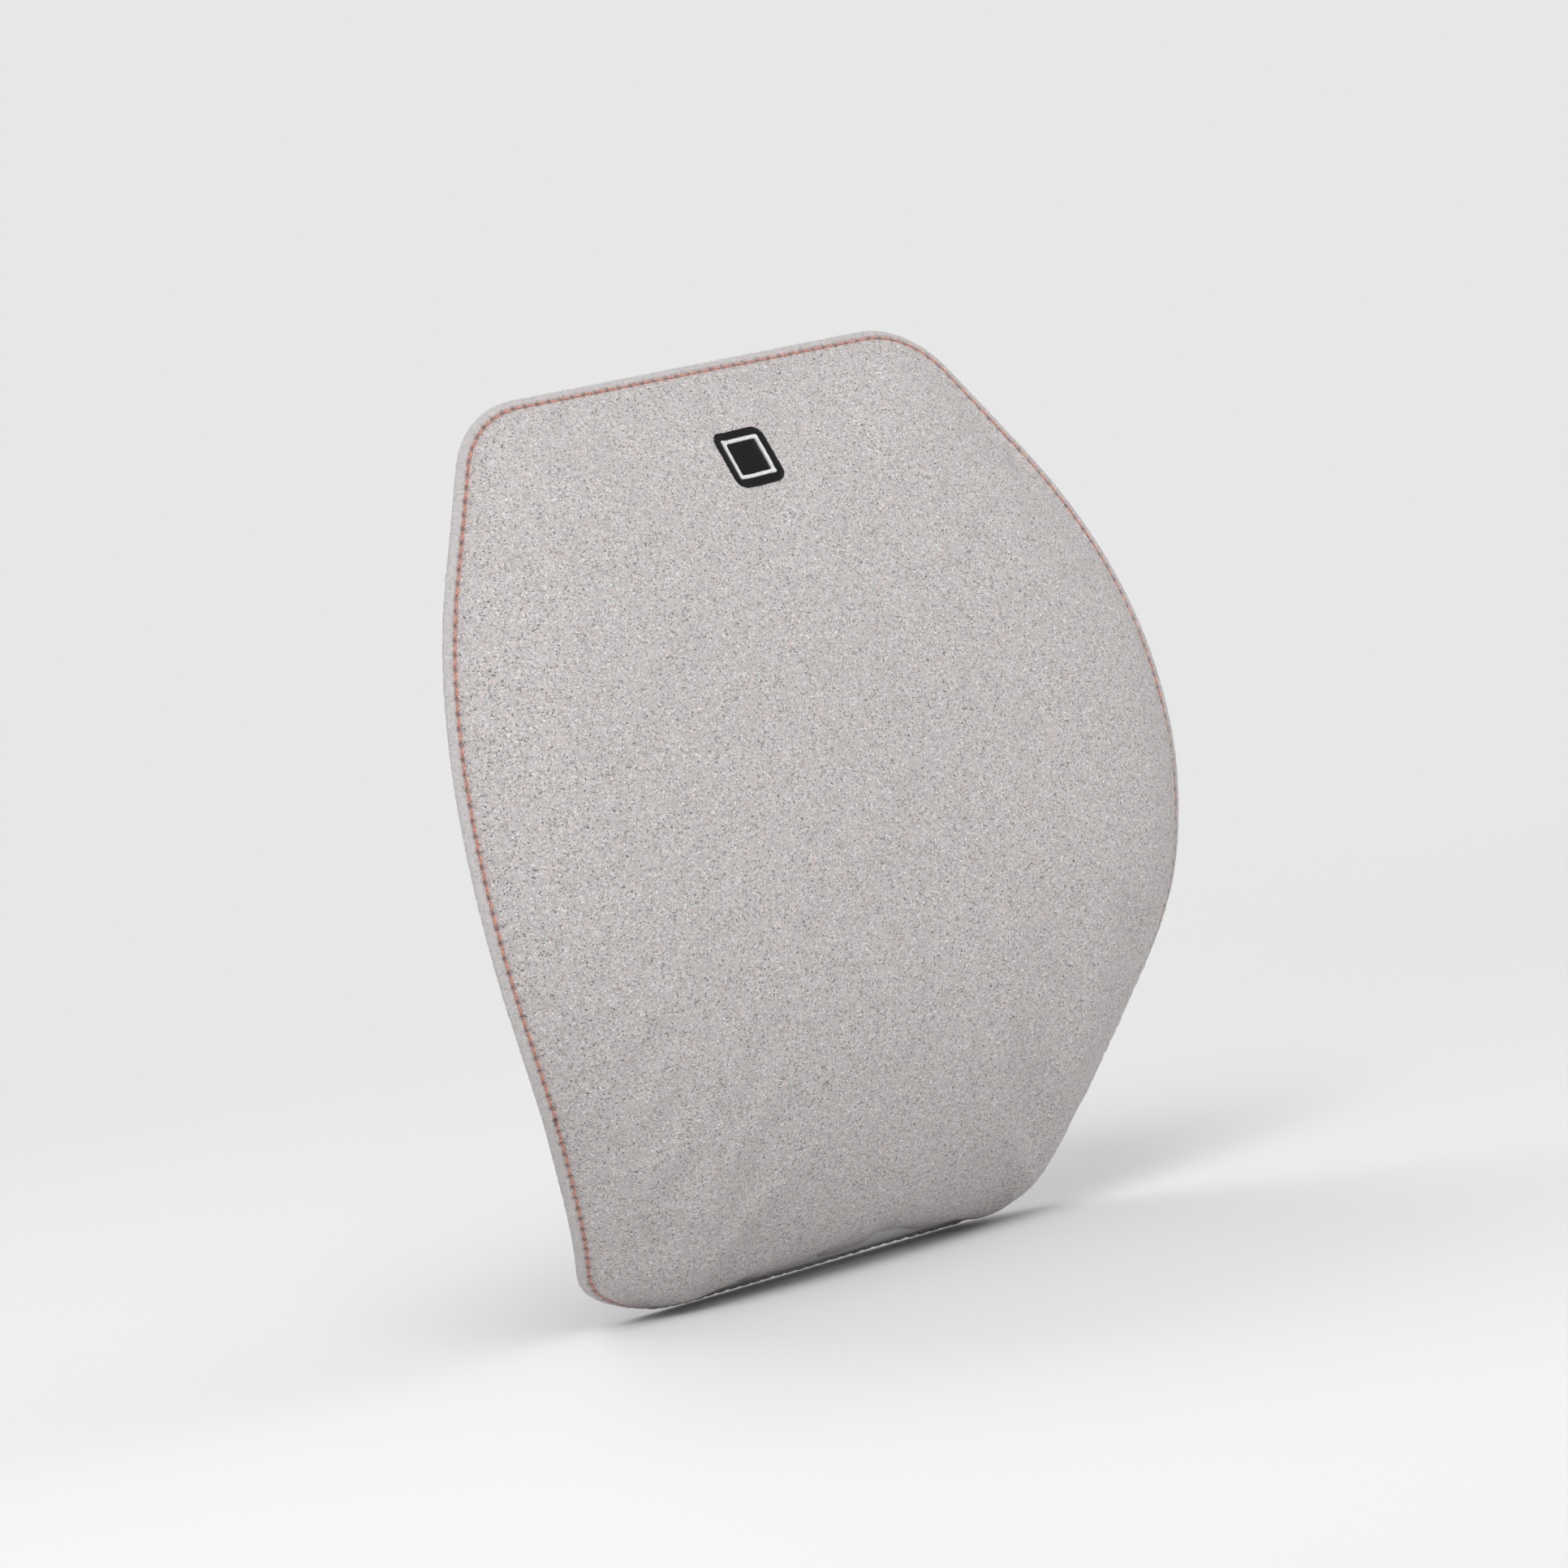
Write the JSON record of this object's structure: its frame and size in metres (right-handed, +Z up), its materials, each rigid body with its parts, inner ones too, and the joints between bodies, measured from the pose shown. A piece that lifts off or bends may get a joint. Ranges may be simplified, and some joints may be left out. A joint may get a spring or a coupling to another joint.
{
  "type": "lumbar support cushion",
  "caption": "Bowed lumbar support cushion with a topstitched felt face, layered foam on a bent board, a zipped back cover and hook strips to hold it to a chair.",
  "frame": {"origin": "middle of the part's bounding box, with the zip pull at rest", "axes": "+Z up the height of the pad, -Y out of its front face, +X to the right seen from the front"},
  "size_m": [0.3396, 0.089, 0.3378],
  "materials": {
    "face_felt": "brushed heathered felt, light warm grey",
    "back_cloth": "dark charcoal knit",
    "orange_thread": "salmon orange polyester thread",
    "badge_black": "black satin-stitch embroidery",
    "badge_white": "white satin-stitch embroidery",
    "liner": "white non-woven cloth",
    "wadding": "loose white polyester fibre",
    "soft_foam": "open-cell polyurethane foam",
    "firm_foam": "firm polyurethane foam",
    "board": "bent polypropylene sheet",
    "zip_tape": "woven black zip tape",
    "zip_coil": "black nylon coil",
    "zip_metal": "black lacquered zinc",
    "dark_thread": "charcoal polyester thread",
    "hook_tape": "black nylon hook tape",
    "label_satin": "blank white satin ribbon"
  },
  "bodies": {
    "pad": {"front_cover": "face_felt", "back_cover_upper": "back_cloth", "back_cover_lower": "back_cloth", "topstitch_thread": "orange_thread", "badge_fill": "badge_black", "badge_ring": "badge_white", "liner_front": "liner", "liner_back": "liner", "fibre_wadding": "wadding", "comfort_foam": "soft_foam", "foam_core": "firm_foam", "back_board": "board", "zip_tape_upper": "zip_tape", "zip_tape_lower": "zip_tape", "zip_coil_upper": "zip_coil", "zip_coil_lower": "zip_coil", "zip_stops": "zip_metal", "zip_stitching": "dark_thread", "hook_stitching": "dark_thread", "hook_strip_upper": "hook_tape", "hook_strip_lower": "hook_tape", "care_label": "label_satin"},
    "slider": {"zip_slider": "zip_metal"},
    "pull": {"zip_pull_tab": "zip_metal"}
  },
  "joints": [
    {"name": "zip_slide", "type": "slide", "parent": "pad", "child": "slider", "axis": [1, 0, 0], "range_m": [0, 0.17]},
    {"name": "pull_hinge", "type": "hinge", "parent": "slider", "child": "pull", "pos_m": [-0.085, 0.00079, -0.0778], "axis": [0, 0.3143, -0.9493], "range_deg": [0, 180]}
  ]
}
